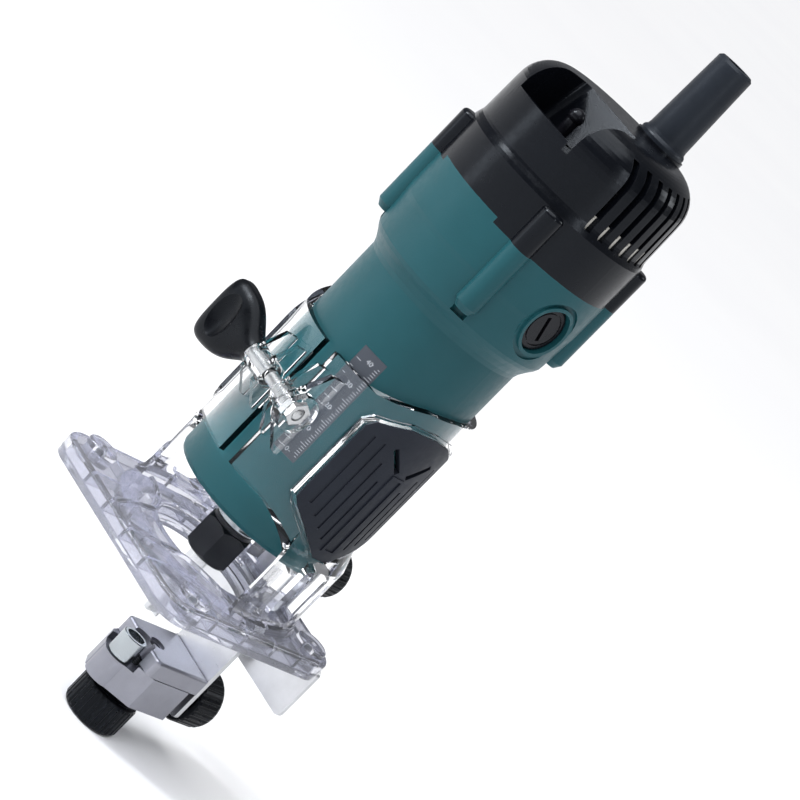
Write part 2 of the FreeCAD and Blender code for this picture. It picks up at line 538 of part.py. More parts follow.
# raised corner bosses
for x, y in CORN:
    foot = foot.fuse(fil(cyl(6.2, Z_FOOT - 0.5, Z_FOOT + 2.4, x, y), 1.2, edge_at_z(Z_FOOT + 2.4)))
# rounded beads on the skin, either side of the chip mouth
half = [(5.6, -47.4), (9.0, -39.0), (11.0, -30.0), (12.2, -23.0), (17.0, -16.6), (23.8, -11.6), (32.2, -8.4), (41.0, -10.6)]
bead_clip = rrect(-BASE_X + 1.2, BASE_X - 1.2, BASE_Y0 + 1.2, BASE_Y1 - 1.2, Z_FOOT - 0.9, Z_FOOT + 3, BASE_RC - 1.2)
for s in (1, -1):
    pts = [V(s * x, y, Z_FOOT - 0.1) for x, y in half]
    sp = Part.BSplineCurve()
    sp.interpolate(pts)
    path = Part.Wire([sp.toShape()])
    t0 = sp.tangent(sp.FirstParameter)[0]
    ring = Part.Wire([Part.makeCircle(1.25, pts[0], t0)])
    bead = path.makePipeShell([ring], True, False)
    if not bead.isValid() or bead.Volume <= 0:
        bead.reverse()
    foot = foot.fuse(bead.common(bead_clip))
# front window
wl = Part.LineSegment(V(33.9, -60, 0), V(33.9, -60, 30.0)).toShape()
a1 = Part.Arc(V(33.9, -60, 30.0), V(30.2, -60, 39.6), V(20.5, -60, 44.6)).toShape()
l1 = Part.LineSegment(V(20.5, -60, 44.6), V(-20.5, -60, 44.6)).toShape()
a2 = Part.Arc(V(-20.5, -60, 44.6), V(-30.2, -60, 39.6), V(-33.9, -60, 30.0)).toShape()
wr = Part.LineSegment(V(-33.9, -60, 30.0), V(-33.9, -60, 0)).toShape()
lb = Part.LineSegment(V(-33.9, -60, 0), V(33.9, -60, 0)).toShape()
win = Part.Face(Part.Wire([wl, a1, l1, a2, wr, lb])).extrude(V(0, 59.0, 0))
slv = slv.cut(win)
# rear window, each side of the boss
rwin = box(12.0, 24.5, 15.0, 60.0, 0, 36.0)
rwin2 = box(-24.5, -12.0, 15.0, 60.0, 0, 36.0)
for w in (rwin, rwin2):
    w = fil(w, 5.0, lambda e: abs(e.BoundBox.ZMin - 36.0) < 1e-3 and e.BoundBox.YMax - e.BoundBox.YMin > 10)
    slv = slv.cut(w)
# side openings through the pillars
for s in (1, -1):
    o = box(20.0, 45.0, -2.0, 12.5, 13.0, 36.0) if s > 0 else box(-45.0, -20.0, -2.0, 12.5, 13.0, 36.0)
    o = fil(o, 3.5, lambda e: e.BoundBox.XMax - e.BoundBox.XMin > 10 and (abs(e.BoundBox.ZMin - 36.0) < 1e-3 or abs(e.BoundBox.ZMin - 13.0) < 1e-3))
    slv = slv.cut(o)
# rear boss for the guide screw
rb = box(-12.0, 12.0, 30.0, BASE_Y1, Z_FOOT - 1.0, 33.0)
rb = fil(rb, 2.5, lambda e: abs(e.BoundBox.ZMin - 33.0) < 1e-3 and e.BoundBox.YMin > 39.0 or (abs(e.BoundBox.ZMax - 33.0) < 1e-3 and e.BoundBox.ZMin < 20 and e.BoundBox.YMin > 39.0))
slv = slv.fuse(rb)
# the bore that the barrel slides in
slv = slv.cut(cyl(SLEEVE_RI, 0, 120.0))
base = foot.fuse(slv)
# clamp bosses either side of the split
cb = []
XL0, XL1 = -11.0, SPLIT_X - SPLIT_W / 2
XR0, XR1 = SPLIT_X + SPLIT_W / 2, 20.5
cb.append(cylx(4.7, XL0, XL1, CLAMP_Y, CLAMP_Z))
cb.append(cylx(4.7, XR0, 15.5, CLAMP_Y, CLAMP_Z))
cb.append(cylx(7.4, 15.0, XR1, CLAMP_Y, CLAMP_Z))
for x0, x1 in ((XL0 + 1.5, XL0 + 3.3), (XL1 - 3.2, XL1 - 1.2)):
    cb.append(prism_x([(-31.0, 62.0), (-36.0, 62.0), (-44.6, 70.5), (-44.6, 80.5), (-39.5, 88.6), (-31.0, 88.6)], x0, x1))
cb.append(prism_x([(-28.0, 60.0), (-36.0, 60.0), (-44.6, 70.0), (-44.6, 81.0), (-39.0, 90.5), (-28.0, 90.5)], XR0 + 1.2, XR0 + 3.2))
cb.append(prism_x([(-22.0, 58.5), (-33.0, 58.5), (-44.0, 68.5), (-44.0, 82.5), (-37.0, 91.5), (-22.0, 91.5)], 14.8, 17.2))
bore_keep = cyl(SLEEVE_RI, 0, 120)
for b_ in cb:
    base = base.fuse(b_.cut(bore_keep))
# split, its rounded relief, and the holes for the screw and nut
base = base.cut(box(SPLIT_X - SPLIT_W / 2, SPLIT_X + SPLIT_W / 2, -60, -20, 30, 120))
base = base.cut(cylx(2.6, XL0 - 1, XR1 + 1, CLAMP_Y, CLAMP_Z))
hx = hexa(8.1, 0, 4.2)
hx = moved(turn_to_x(hx), XR1 - 4.1, CLAMP_Y, CLAMP_Z)
base = base.cut(hx)
# grip recesses
for s in (1, -1):
    x0, x1 = (20.0, 45.0) if s > 0 else (-45.0, -20.0)
    base = base.cut(grip_prism(0.08, x0, x1).cut(cyl(33.95, 20, 120)))
# rear boss: cross hole and nut trap
base = base.cut(cyly(2.6, 30, 45, 0, SCREW_A_Z))
base = base.cut(box(-4.2, 4.2, 34.9, 38.1, SCREW_A_Z - 4.2, 34.0))
# sole screws from below
for x, y in CORN:
    base = base.cut(cyl(1.6, Z_SOLE - 1, Z_FOOT + 0.4, x, y))
NO_REFINE.add("base_body")
save("base_body", base)

sole = rrect(-BASE_X + 0.3, BASE_X - 0.3, BASE_Y0 + 0.3, BASE_Y1 - 0.3, 0.0, Z_SOLE, BASE_RC - 0.3)
sole = fil(sole, 0.6, edge_at_z(0.0))
sole = sole.cut(cyl(THROAT_R, -1, 5))
for x, y in CORN:
    sole = sole.cut(cyl(1.8, -1, 5, x, y)).cut(cyl(3.3, -1, 1.3, x, y))
save("sole_plate", sole)
save("sole_screws", Part.makeCompound([cyl(1.55, 1.2, Z_FOOT - 0.4, x, y).fuse(cyl(3.1, 0.35, 1.28, x, y)).cut(box(x - 2.2, x + 2.2, y - 0.4, y + 0.4, 0, 0.8)).cut(box(x - 0.4, x + 0.4, y - 2.2, y + 2.2, 0, 0.8)) for x, y in CORN]))

# grips
for nm, s in (("right", 1), ("left", -1)):
    g = grip_prism(-0.05, 20.0, 45.0).common(tube(36.5, 34.0, 20, 120))
    for y0 in (-18.6, -14.6, -10.6, -6.6, 6.6, 10.6, 14.6, 18.6):
        z0 = 39.2 + (abs(y0) - 3.4) * 0.69 + 5.0
        z1 = 86.0 if abs(y0) > 12 else (80.0 if abs(y0) > 8 else 74.0)
        g = g.cut(box(35.0 - 6.5, 45.0, y0 - 0.45, y0 + 0.45, z0, z1).cut(cyl(36.05, 20, 120)))
    # slanting slits and the raised centre rib
    for q in (1, -1):
        slit = box(30.0, 45.0, -1.0, 1.0, -5.2, 5.2)
        slit.rotate(V(0, 0, 0), V(1, 0, 0), 47 * q)
        slit.translate(V(0, -6.4 * q, 83.2))
        g = g.cut(slit)
    rib = box(30.0, 45.0, -3.2, 3.2, 43.0, 78.5).common(tube(37.0, 36.0, 20, 120))
    rib = rib.cut(box(30, 45, -2.2, 2.2, 44.0, 77.5))
    g = g.fuse(rib)
    if s < 0:
        g = g.mirror(V(0, 0, 0), V(1, 0, 0))
    save("grip_" + nm, g)

# clamp nut and thumb screw
n_ = hexa(8.0, 0, 3.6).cut(cyl(2.53, -1, 5))
save("clamp_nut", moved(turn_to_x(n_), XR1 - 3.9, CLAMP_Y, CLAMP_Z))
save("clamp_bolt", cylx(2.45, -24.8, XR1 - 0.4, CLAMP_Y, CLAMP_Z))
# knob: round neck opening into a wide flat paddle
secs = []
for x, hy, hz, n_e in ((-11.3, 4.6, 4.6, 2.0), (-13.2, 4.7, 5.2, 2.0), (-17.0, 4.9, 7.8, 2.2), (-21.4, 5.0, 10.8, 2.5), (-25.4, 5.2, 12.4, 2.8), (-30.4, 5.3, 13.2, 3.0), (-34.6, 5.2, 13.1, 3.0), (-36.4, 4.5, 12.2, 3.0)):
    pts = []
    for i in range(24):
        t = 2 * math.pi * i / 24
        c_, s_ = math.cos(t), math.sin(t)
        pts.append(V(x, CLAMP_Y + hy * math.copysign(abs(s_) ** (2.0 / n_e), s_), CLAMP_Z + hz * math.copysign(abs(c_) ** (2.0 / n_e), c_)))
    sp = Part.BSplineCurve()
    sp.interpolate(Points=pts, PeriodicFlag=True)
    secs.append(Part.Wire([sp.toShape()]))
knob = Part.makeLoft(secs, True, False)
# dished broad faces with a rim
for q in (1, -1):
    m = FreeCAD.Matrix()
    m.scale(5.9, 3.6, 10.6)
    d = Part.makeSphere(1.0).transformGeometry(m)
    d.translate(V(-28.6, CLAMP_Y + 6.7 * q, CLAMP_Z))
    knob = knob.cut(d)
knob = knob.cut(cylx(2.45, -25.0, -5.0, CLAMP_Y, CLAMP_Z))
save("clamp_knob", knob)

# ============================ guide ============================
pl = rrect(-40.0, 40.0, -20.0, 2.5, 0, PLATE_Y1 - PLATE_Y0, 2.4)
pl = turn_to_y(pl)      # outline y -> -z
pl = pl.mirror(V(0, 0, 0), V(0, 0, 1))
tabp = rrect(-12.0, 12.0, 0.0, 36.0, 0, PLATE_Y1 - PLATE_Y0, 3.0)
tabp = turn_to_y(tabp).mirror(V(0, 0, 0), V(0, 0, 1))
pl = moved(pl.fuse(tabp), 0, PLATE_Y0, 0)
sl = box(-2.65, 2.65, 38, 46, SCREW_A_Z, SCREW_A_Z + 8.0).fuse([cyly(2.65, 38, 46, 0, SCREW_A_Z), cyly(2.65, 38, 46, 0, SCREW_A_Z + 8.0)])
pl = pl.cut(sl)
RIV = [(-5.5, -9.0), (5.5, -9.0)]
for x, z in RIV:
    pl = pl.cut(cyly(1.6, 38, 46, x, z))
save("guide_holder", pl)
arm = rrect(-12.4, 12.4, -51.0, -1.0, 0, ARM_Y1 - ARM_Y0, 1.5)
arm = moved(turn_to_y(arm).mirror(V(0, 0, 0), V(0, 0, 1)), 0, ARM_Y0, 0)
arm = arm.fuse(box(-9.5, 9.5, ARM_Y1 - 0.5, PLATE_Y0, -16.0, -3.0))
for x, z in RIV:
    arm = arm.cut(cyly(1.6, 30, 46, x, z))
arm = arm.cut(cyly(2.1, 30, 40, 0, ADJ_Z))
for x in (-8.0, 8.0):
    arm = arm.cut(cyly(1.55, 30, 40, x, -35.7))
save("guide_arm", arm)
save("guide_rivets", Part.makeCompound([cyly(1.55, ARM_Y0 - 0.1, PLATE_Y1 + 0.1, x, z).fuse([cyly(2.6, ARM_Y0 - 0.9, ARM_Y0 - 0.02, x, z), cyly(2.6, PLATE_Y1 + 0.02, PLATE_Y1 + 0.9, x, z)]) for x, z in RIV]))
# upper block, screwed to the arm
ub = rrect(-BLOCK_X, BLOCK_X, 8.6, ARM_Y0, Z_BLK_M + 0.06, Z_BLK_T, 2.0)
ub = ub.fuse(box(-BLOCK_X, BLOCK_X, 28.0, ARM_Y0, Z_BLK_M + 0.06, Z_BLK_T))
ub = fil(ub, 1.2, lambda e: abs(e.BoundBox.ZMin - Z_BLK_T) < 1e-3 and abs(e.BoundBox.ZMax - Z_BLK_T) < 1e-3)
ub = ub.cut(cyl(7.2, -45, -30, ROLLER[0], ROLLER[1])).cut(cyl(6.0, -45, -30, ROLLER[0], ROLLER[1] + 2.5))
ub = ub.cut(cyl(2.5, -45, -30, SCREW_B[0], SCREW_B[1])).cut(cyl(3.1, -33.6, -30, SCREW_B[0], SCREW_B[1]))
for x in (-8.0, 8.0):
    ub = ub.cut(cyly(1.5, 26.0, 40, x, -35.7))
save("guide_block", ub)
save("guide_block_screws", Part.makeCompound([cyly(1.45, 26.5, ARM_Y1 + 0.5, x, -35.7).fuse(cyly(2.6, ARM_Y1 + 0.02, ARM_Y1 + 1.5, x, -35.7)) for x in (-8.0, 8.0)]))
# sliding roller carrier
RC_Y1 = 32.8
lbk = prism_z([(-BLOCK_X, RC_Y1), (-BLOCK_X, 10.4), (-10.6, 5.6), (-5.2, 0.8), (3.6, 0.8), (12.9, 12.6), (12.9, RC_Y1)], Z_BLK_B, Z_BLK_M - 0.06)
nose = cyl(6.0, Z_BLK_B, Z_BLK_M - 0.06, ROLLER[0], ROLLER[1])
lbk = lbk.fuse(nose)
lbk = fil(lbk, 1.0, lambda e: e.BoundBox.ZMax - e.BoundBox.ZMin > 10 and abs(e.BoundBox.XMax - e.BoundBox.XMin) < 1e-6 and e.BoundBox.YMin > 9)
lbk = lbk.cut(cyl(8.7, -42.2, -30, ROLLER[0], ROLLER[1]))
lbk = lbk.cut(box(-2.65, 2.65, SCREW_B[1] - 3.2, SCREW_B[1] + 3.2, -60, -30)).cut(cyl(2.65, -60, -30, 0, SCREW_B[1] - 3.2)).cut(cyl(2.65, -60, -30, 0, SCREW_B[1] + 3.2))
lbk = lbk.cut(cyly(2.1, 22.8, 40, 0, ADJ_Z))
lbk = lbk.cut(cyl(2.0, -52.0, -40.0, ROLLER[0], ROLLER[1]))
save("roller_carrier", lbk)
# pin and roller
pin = cyl(2.0, -51.8, -36.2, ROLLER[0], ROLLER[1]).fuse(cyl(3.3, -36.4, -35.6, ROLLER[0], ROLLER[1]))
save("roller_pin", pin)
rol = cyl(ROLLER_R, -42.0, -33.0, ROLLER[0], ROLLER[1])
rol = fil(rol, 0.4, lambda e: (abs(e.BoundBox.ZMin + 33.0) < 1e-3 or abs(e.BoundBox.ZMax + 42.0) < 1e-3) and e.Length > 20)
rol = rol.cut(cyl(2.06, -50, -30, ROLLER[0], ROLLER[1])).cut(cyl(3.7, -36.5, -30, ROLLER[0], ROLLER[1]))
save("guide_roller", rol)


def knob_set(r, h, neck_r, neck_h, shank_r, shank_l):
    """Knurled head (z 0..h), neck and screw shank rising from it."""
    k = knurled(r, h, 30, 0.55, 1.6)
    k = k.fuse(Part.makeCone(neck_r + 3.0, neck_r, neck_h, V(0, 0, h - 0.01), V(0, 0, 1)))
    k = k.cut(cyl(r - 3.2, -1, 0.9)).fuse(cyl(3.4, 0.3, 1.4))
    return k, cyl(shank_r, h * 0.3, h + neck_h + shank_l)


# clamp screw B, upright under the blocks
kb, sb = knob_set(11.6, 13.2, 6.4, 2.2, 2.45, 19.0)
kb = moved(kb, SCREW_B[0], SCREW_B[1], -68.6)
sb = moved(sb, SCREW_B[0], SCREW_B[1], -68.6)
save("screw_b_knob", kb.cut(cyl(2.45, -66, -30, SCREW_B[0], SCREW_B[1])))
save("screw_b_shank", sb)
# adjusting screw, along Y behind the arm
ADJ_Y = 55.6
ka, sa = knob_set(11.6, 12.6, 5.0, 1.6, 2.0, 15.4)
R_ = lambda s_: (lambda t: (t.rotate(V(0, 0, 0), V(1, 0, 0), 90), t)[1])(s_.copy())
ka, sa = moved(R_(ka), 0, ADJ_Y, ADJ_Z), moved(R_(sa), 0, ADJ_Y, ADJ_Z)
save("adjusting_knob", ka.cut(cyly(2.0, 10, ADJ_Y - 1.6, 0, ADJ_Z)))
save("adjusting_screw", sa)
# clamp screw A, along Y behind the holder
KNOB_A_Y = 57.8
kA, sA = knob_set(10.3, 11.4, 5.0, KNOB_A_Y - 11.4 - PLATE_Y1 - 0.05, 2.45, 10.0)
kA, sA = moved(R_(kA), 0, KNOB_A_Y, SCREW_A_Z), moved(R_(sA), 0, KNOB_A_Y, SCREW_A_Z)
save("screw_a_knob", kA.cut(cyly(2.45, 10, KNOB_A_Y - 2.8, 0, SCREW_A_Z)))
save("screw_a_shank", sA)
nA = box(-4.1, 4.1, 34.95, 38.0, SCREW_A_Z - 4.1, SCREW_A_Z + 4.1).cut(cyly(2.53, 30, 45, 0, SCREW_A_Z))
save("guide_nut", nA)
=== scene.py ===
import bpy, bmesh, json, math, random
from mathutils import Vector, Matrix


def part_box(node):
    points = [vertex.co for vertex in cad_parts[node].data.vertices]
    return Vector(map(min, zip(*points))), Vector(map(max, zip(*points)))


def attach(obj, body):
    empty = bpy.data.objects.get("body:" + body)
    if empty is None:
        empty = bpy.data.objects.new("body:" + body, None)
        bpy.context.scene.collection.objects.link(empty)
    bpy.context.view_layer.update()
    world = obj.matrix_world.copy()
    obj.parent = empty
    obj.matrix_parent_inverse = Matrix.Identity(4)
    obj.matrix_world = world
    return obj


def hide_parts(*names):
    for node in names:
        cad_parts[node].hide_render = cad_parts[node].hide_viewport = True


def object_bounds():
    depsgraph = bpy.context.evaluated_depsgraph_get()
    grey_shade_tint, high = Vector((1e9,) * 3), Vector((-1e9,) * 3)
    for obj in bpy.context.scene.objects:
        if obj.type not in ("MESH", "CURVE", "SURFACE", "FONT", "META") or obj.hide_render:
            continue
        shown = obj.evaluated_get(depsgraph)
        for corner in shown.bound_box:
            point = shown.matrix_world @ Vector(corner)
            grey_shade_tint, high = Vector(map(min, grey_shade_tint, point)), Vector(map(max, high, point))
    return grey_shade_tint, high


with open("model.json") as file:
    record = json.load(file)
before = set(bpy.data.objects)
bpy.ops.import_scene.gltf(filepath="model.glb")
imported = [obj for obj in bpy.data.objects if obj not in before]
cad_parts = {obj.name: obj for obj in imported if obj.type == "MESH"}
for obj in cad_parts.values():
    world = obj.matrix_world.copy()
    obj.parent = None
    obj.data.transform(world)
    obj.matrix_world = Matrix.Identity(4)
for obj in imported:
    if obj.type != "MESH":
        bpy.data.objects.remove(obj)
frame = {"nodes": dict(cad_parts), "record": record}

B0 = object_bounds()
N = frame["nodes"]
MM = 0.001


# ------------------------------------------------------------------ node helpers
class Mat:
    """A small node-tree writer."""

    def __init__(self, name):
        self.m = bpy.data.materials.new(name)
        self.m.use_nodes = True
        self.t = self.m.node_tree
        self.n = self.t.nodes
        self.b = self.n["Principled BSDF"]
        self.co = self.n.new("ShaderNodeTexCoord")

    def link(self, a, b):
        self.t.links.new(a, b)

    def set(self, **kw):
        for k, v in kw.items():
            k = k.replace("_", " ")
            self.b.inputs[k].default_value = v
        return self

    def mapping(self, scale=(1, 1, 1), rot=(0, 0, 0)):
        mp = self.n.new("ShaderNodeMapping")
        mp.inputs["Scale"].default_value = scale
        mp.inputs["Rotation"].default_value = rot
        self.link(self.co.outputs["Object"], mp.inputs["Vector"])
        return mp.outputs["Vector"]

    def noise(self, scale, detail=3.0, rough=0.5, vec=None, distort=0.0):
        t = self.n.new("ShaderNodeTexNoise")
        t.inputs["Scale"].default_value = scale
        t.inputs["Detail"].default_value = detail
        t.inputs["Roughness"].default_value = rough
        t.inputs["Distortion"].default_value = distort
        self.link(vec if vec is not None else self.co.outputs["Object"], t.inputs["Vector"])
        return t.outputs["Fac"]

    def voronoi(self, scale, vec=None, feature="F1", out="Distance"):
        t = self.n.new("ShaderNodeTexVoronoi")
        t.feature = feature
        t.inputs["Scale"].default_value = scale
        self.link(vec if vec is not None else self.co.outputs["Object"], t.inputs["Vector"])
        return t.outputs[out]

    def rng(self, fac, a, b, lo=0.0, hi=1.0):
        r = self.n.new("ShaderNodeMapRange")
        r.inputs["From Min"].default_value = a
        r.inputs["From Max"].default_value = b
        r.inputs["To Min"].default_value = lo
        r.inputs["To Max"].default_value = hi
        self.link(fac, r.inputs["Value"])
        return r.outputs["Result"]

    def math(self, op, a, b=None, c=None):
        m = self.n.new("ShaderNodeMath")
        m.operation = op
        for i, v in enumerate((a, b, c)):
            if v is None:
                continue
            if isinstance(v, (int, float)):
                m.inputs[i].default_value = v
            else:
                self.link(v, m.inputs[i])
        return m.outputs[0]

    def mix(self, fac, c1, c2):
        x = self.n.new("ShaderNodeMix")
        x.data_type = "RGBA"
        if isinstance(fac, (int, float)):
            x.inputs["Factor"].default_value = fac
        else:
            self.link(fac, x.inputs["Factor"])
        for sock, c in ((x.inputs[6], c1), (x.inputs[7], c2)):
            if isinstance(c, (tuple, list)):
                sock.default_value = (c[0], c[1], c[2], 1.0)
            else:
                self.link(c, sock)
        return x.outputs[2]

    def edge(self, radius, lo=0.02, hi=0.25, samples=4):
        """0 on flats, 1 on rounded-over edges."""
        bv = self.n.new("ShaderNodeBevel")
        bv.samples = samples
        bv.inputs["Radius"].default_value = radius
        g = self.n.new("ShaderNodeNewGeometry")
        d = self.n.new("ShaderNodeVectorMath")
        d.operation = "DOT_PRODUCT"
        self.link(bv.outputs["Normal"], d.inputs[0])
        self.link(g.outputs["Normal"], d.inputs[1])
        return self.rng(d.outputs["Value"], 1.0 - lo * 0.2, 1.0 - hi, 0.0, 1.0)

    def bump(self, height, distance, strength=1.0, prev=None):
        bp = self.n.new("ShaderNodeBump")
        bp.inputs["Strength"].default_value = strength
        bp.inputs["Distance"].default_value = distance
        self.link(height, bp.inputs["Height"])
        if prev is not None:
            self.link(prev, bp.inputs["Normal"])
        return bp.outputs["Normal"]

    def to(self, out, name):
        self.link(out, self.b.inputs[name])
        return self


def lin(r, g, b):
    f = lambda c: (c / 255.0) / 12.92 if c <= 10.31 else (((c / 255.0) + 0.055) / 1.055) ** 2.4
    return (f(r), f(g), f(b))


def moulded(name, col, rough, grain, depth, vary=0.10, wear=None, coat=0.0, spec=0.5, rough_var=0.06):
    """Injection-moulded plastic or rubber: spark-eroded grain, faint cloudiness, polished edges."""
    k = Mat(name)
    big = k.noise(35.0, 3.0, 0.55)
    fine = k.noise(grain, 2.0, 0.6)
    mid = k.noise(grain * 0.22, 3.0, 0.6)
    dark = tuple(c * (1.0 - vary) for c in col)
    lite = tuple(min(1.0, c * (1.0 + vary)) for c in col)
    c = k.mix(k.rng(big, 0.35, 0.65), dark, lite)
    if wear:
        e = k.edge(0.0005)
        e = k.math("MULTIPLY", e, k.rng(k.noise(420.0, 3.0, 0.6), 0.42, 0.62))
        c = k.mix(k.math("MULTIPLY", e, 0.5), c, wear)
    k.to(c, "Base Color")
    r = k.rng(mid, 0.3, 0.7, rough - rough_var, rough + rough_var)
    k.to(r, "Roughness")
    h = k.math("ADD", k.math("MULTIPLY", fine, 0.8), k.math("MULTIPLY", k.voronoi(grain * 0.8), 0.35))
    k.to(k.bump(h, depth), "Normal")
    k.set(**{"Specular IOR Level": spec})
    k.b.inputs["Specular Tint"].default_value = (0.84, 0.91, 1.0, 1.0)
    if coat:
        k.set(Coat_Weight=coat, Coat_Roughness=0.25)
    return k.m


def metal(name, col, rough, brushed=None, scale=900.0, depth=0.00002, vary=0.08, stains=0.06, metallic=1.0, aniso=0.0):
    k = Mat(name)
    k.set(Metallic=metallic)
    n1 = k.noise(60.0, 4.0, 0.6)
    dark = tuple(c * (1.0 - vary) for c in col)
    lite = tuple(min(1.0, c * (1.0 + vary)) for c in col)
    k.to(k.mix(k.rng(n1, 0.35, 0.65), dark, lite), "Base Color")
    if brushed:
        vec = k.mapping(brushed)
        f = k.noise(scale, 2.0, 0.55, vec=vec)
    else:
        f = k.noise(scale, 3.0, 0.6)
    r = k.math("ADD", k.rng(f, 0.3, 0.7, rough - 0.05, rough + 0.05), k.rng(n1, 0.4, 0.7, 0.0, stains))
    k.to(r, "Roughness")
    k.to(k.bump(f, depth), "Normal")
    if aniso:
        k.set(Anisotropic=aniso)
    return k.m


def clear(name, tint, rough, ripple, haze_and_shade=0.0, spec=0.09, z0=0.0095, z1=0.0140, grey_shade_tint=(0.735, 0.74, 0.79)):
    """Clear polycarbonate: faint flow ripple, hairline scuffs, milky and greyer towards the bottom (a haze plus
    painted grey shade standing in for internal reflections), and lamps shine through it.
    """
    k = Mat(name)
    k.set(Transmission_Weight=1.0, IOR=1.49)
    k.set(**{"Specular IOR Level": spec, "Specular Tint": (0.42, 0.46, 0.50, 1.0)})
    # below z1 the transmission drops and a grey diffuse part comes in: partly a milky haze, partly painted grey shade
    if haze_and_shade:
        sx = k.n.new("ShaderNodeSeparateXYZ")
        k.link(k.co.outputs["Object"], sx.inputs[0])
        haze = k.rng(k.noise(220.0, 4.0, 0.6), 0.35, 0.70, 0.85, 1.15)
        k.to(k.math("SUBTRACT", 1.0, k.math("MULTIPLY", k.rng(sx.outputs["Z"], z0, z1, haze_and_shade, 0.0), haze)), "Transmission Weight")
    col = k.mix(k.rng(k.noise(25.0), 0.3, 0.7), tuple(t * 0.99 for t in tint), tint)
    # painted grey shade: the colour fades to the grey tint towards the sole
    if haze_and_shade:
        col = k.mix(k.rng(sx.outputs["Z"], z0, z1, 1.0, 0.0), col, grey_shade_tint)
    k.to(col, "Base Color")
    scuff = k.noise(120.0, 4.0, 0.62, vec=k.mapping((1.0, 1.0, 0.12), (0.5, 0.2, 0.1)))
    k.to(k.rng(scuff, 0.55, 0.80, rough, rough + 0.06), "Roughness")
    k.to(k.bump(k.noise(45.0, 1.0, 0.4), ripple), "Normal")
    lp = k.n.new("ShaderNodeLightPath")
    tr = k.n.new("ShaderNodeBsdfTransparent")
    tr.inputs["Color"].default_value = (0.965, 0.97, 0.98, 1.0)
    mx = k.n.new("ShaderNodeMixShader")
    k.link(lp.outputs["Is Shadow Ray"], mx.inputs[0])
    k.link(k.b.outputs[0], mx.inputs[1])
    k.link(tr.outputs[0], mx.inputs[2])
    k.link(mx.outputs[0], k.n["Material Output"].inputs["Surface"])
    return k.m


# ------------------------------------------------------------------ materials
MATS = {
    "teal_shell": moulded("teal_shell", (0.0095, 0.069, 0.082), 0.40, 1900.0, 0.00003, 0.06, wear=(0.04, 0.17, 0.19), spec=0.26),
    "black_cover": moulded("black_cover", (0.0026, 0.0032, 0.0050), 0.22, 1900.0, 0.000012, 0.15, wear=(0.03, 0.03, 0.034), spec=0.22),
    "black_rubber": moulded("black_rubber", (0.010, 0.013, 0.019), 0.42, 1500.0, 0.00003, 0.15, spec=0.30),
    "grip_rubber": moulded("grip_rubber", (0.0105, 0.0125, 0.0195), 0.50, 1300.0, 0.00005, 0.15, spec=0.26),
    "clear_base": clear("clear_base", (0.995, 0.998, 0.999), 0.01, 0.000003, haze_and_shade=0.05),
    # the whole sole takes the grey tint and haze: painted grey shade over a milky haze
    "clear_sole": clear("clear_sole", (0.97, 0.98, 0.99), 0.02, 0.000006, haze_and_shade=0.12, z0=1.0, z1=2.0, grey_shade_tint=(0.74, 0.745, 0.80)),
    "scale_foil": moulded("scale_foil", lin(62, 66, 74), 0.42, 2500.0, 0.00001, 0.06),
    "knob_black": moulded("knob_black", (0.0024, 0.0028, 0.0040), 0.30, 1700.0, 0.00002, 0.15, wear=(0.03, 0.03, 0.034), spec=0.15),
    "switch_black": moulded("switch_black", (0.005, 0.005, 0.007), 0.24, 1800.0, 0.00002, 0.12, wear=(0.04, 0.04, 0.045), spec=0.20),
    "inner_plastic": moulded("inner_plastic", (0.05, 0.05, 0.05), 0.5, 1200.0, 0.00004),
    "fan_white": moulded("fan_white", (0.62, 0.60, 0.55), 0.5, 1200.0, 0.00004),
    "carbon": moulded("carbon", (0.03, 0.03, 0.032), 0.45, 3000.0, 0.00003),
    "zinc_steel": metal("zinc_steel", (0.58, 0.59, 0.60), 0.28, scale=2400.0),
    "ground_steel": metal("ground_steel", (0.40, 0.43, 0.45), 0.20, brushed=(1, 1, 6), scale=1500.0),
    "sheet_steel": metal("sheet_steel", (0.60, 0.605, 0.625), 0.32, brushed=(0.15, 1, 1), scale=2200.0, depth=0.00001),
    "black_steel": metal("black_steel", (0.020, 0.022, 0.026), 0.34, scale=1500.0, metallic=0.55),
    "cast_alloy": metal("cast_alloy", (0.285, 0.288, 0.325), 0.36, scale=1900.0, depth=0.00004, metallic=0.92),
    "bearing_steel": metal("bearing_steel", (0.66, 0.67, 0.68), 0.10, scale=800.0, depth=0.000004),
    "lamination": metal("lamination", (0.16, 0.16, 0.17), 0.40, brushed=(0.05, 0.05, 4), scale=900.0),
    "copper_wire": metal("copper_wire", (0.60, 0.22, 0.10), 0.30, brushed=(0.3, 0.3, 4), scale=500.0, depth=0.0003),
    "copper_bar": metal("copper_bar", (0.72, 0.36, 0.22), 0.22, brushed=(1, 1, 8), scale=700.0),
    "brush_brass": metal("brush_brass", (0.74, 0.52, 0.24), 0.25),
    "cutter_steel": metal("cutter_steel", (0.60, 0.61, 0.63), 0.16, brushed=(1, 1, 8), scale=1500.0),
}

slot_of = {s["node"]: s["material_slot"] for s in frame["record"]["subparts"]}


def shade(mesh, angle=32.0):
    mesh.shade_smooth()
    mesh.set_sharp_from_angle(angle=math.radians(angle))


for name, o in N.items():
    o.data.materials.clear()
    o.data.materials.append(MATS["black_steel" if name == "roller_pin" else slot_of[name]])
    shade(o.data)

# softened edges on the cast, pressed and moulded pieces
for name, w in (("guide_block", 0.30), ("roller_carrier", 0.30), ("guide_holder", 0.22), ("guide_arm", 0.22), ("bearing_bridge", 0.3),
                ("cord_clamp", 0.3), ("switch_body", 0.3), ("brush_cap_left", 0.15), ("brush_cap_right", 0.15), ("collet_nut", 0.2)):
    md = N[name].modifiers.new("edge_round", "BEVEL")
    md.width = w * MM
    md.segments = 2
    md.limit_method = "ANGLE"
    md.angle_limit = math.radians(38)
    md.use_clamp_overlap = True
    md.harden_normals = True

# ------------------------------------------------------------------ added pieces
COL = bpy.context.scene.collection


